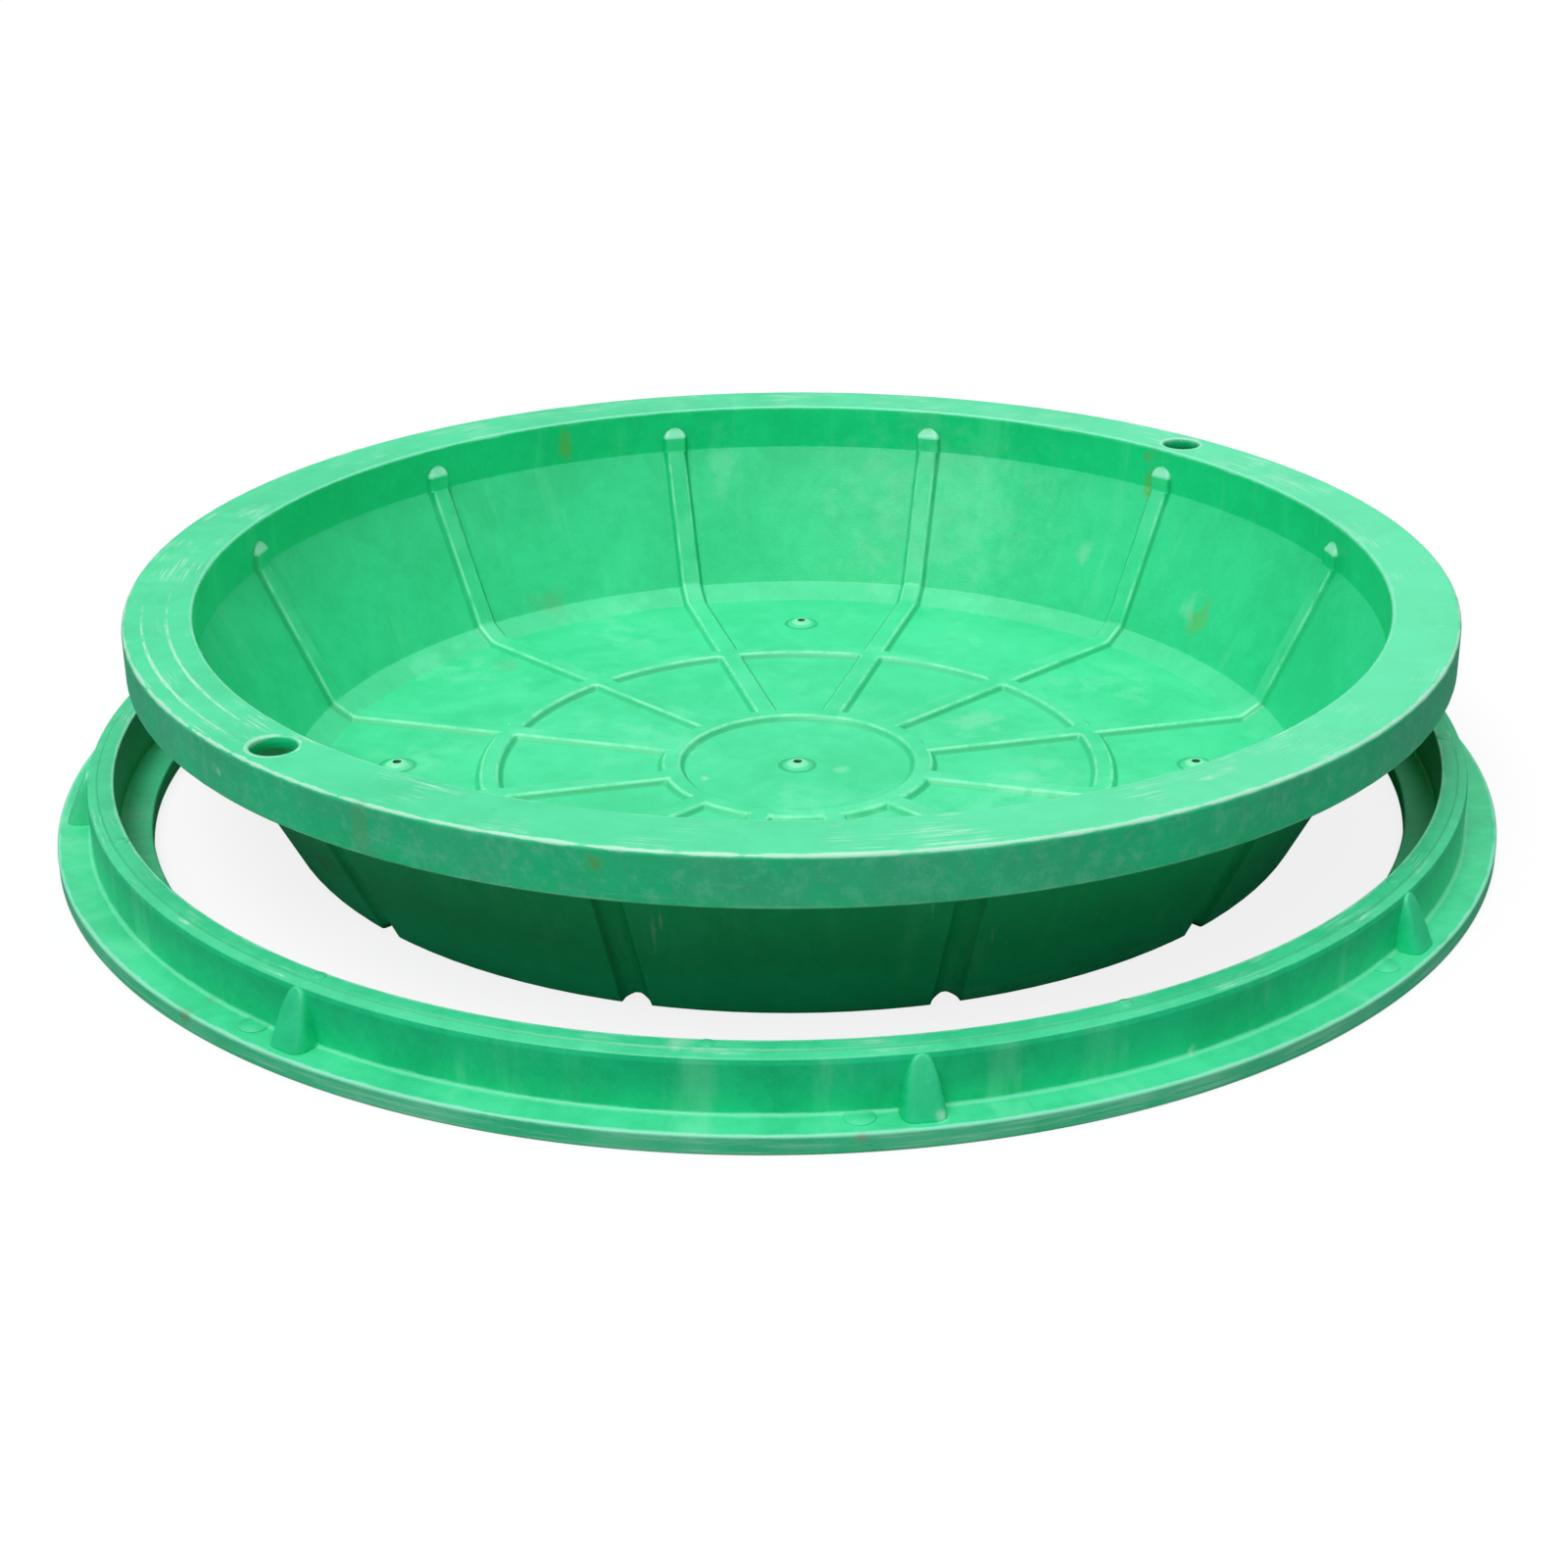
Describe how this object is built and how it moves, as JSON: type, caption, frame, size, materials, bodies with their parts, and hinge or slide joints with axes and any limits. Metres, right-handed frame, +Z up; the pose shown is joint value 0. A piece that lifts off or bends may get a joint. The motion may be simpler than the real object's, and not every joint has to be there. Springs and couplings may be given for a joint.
{
  "type": "septic tank cover",
  "caption": "Recessed round septic tank cover: a ribbed dish for soil and grass with a flat rim and lifting holes, and the flanged ring with a ledge that it seats in.",
  "frame": {"origin": "centre of the seat ring on the ground", "axes": "+Z up; the cover is seen from -Y in the picture, with +X to the right"},
  "size_m": [0.8, 0.7999, 0.1225],
  "materials": {
    "cover_green": "moulded fibre-filled plastic in bright green, sun-bleached and scuffed pale along the rim",
    "ring_green": "moulded fibre-filled plastic in mid green, scuffed pale along the top edge"
  },
  "bodies": {
    "root": {"cover_basin": "cover_green", "seat_ring": "ring_green"}
  },
  "joints": []
}
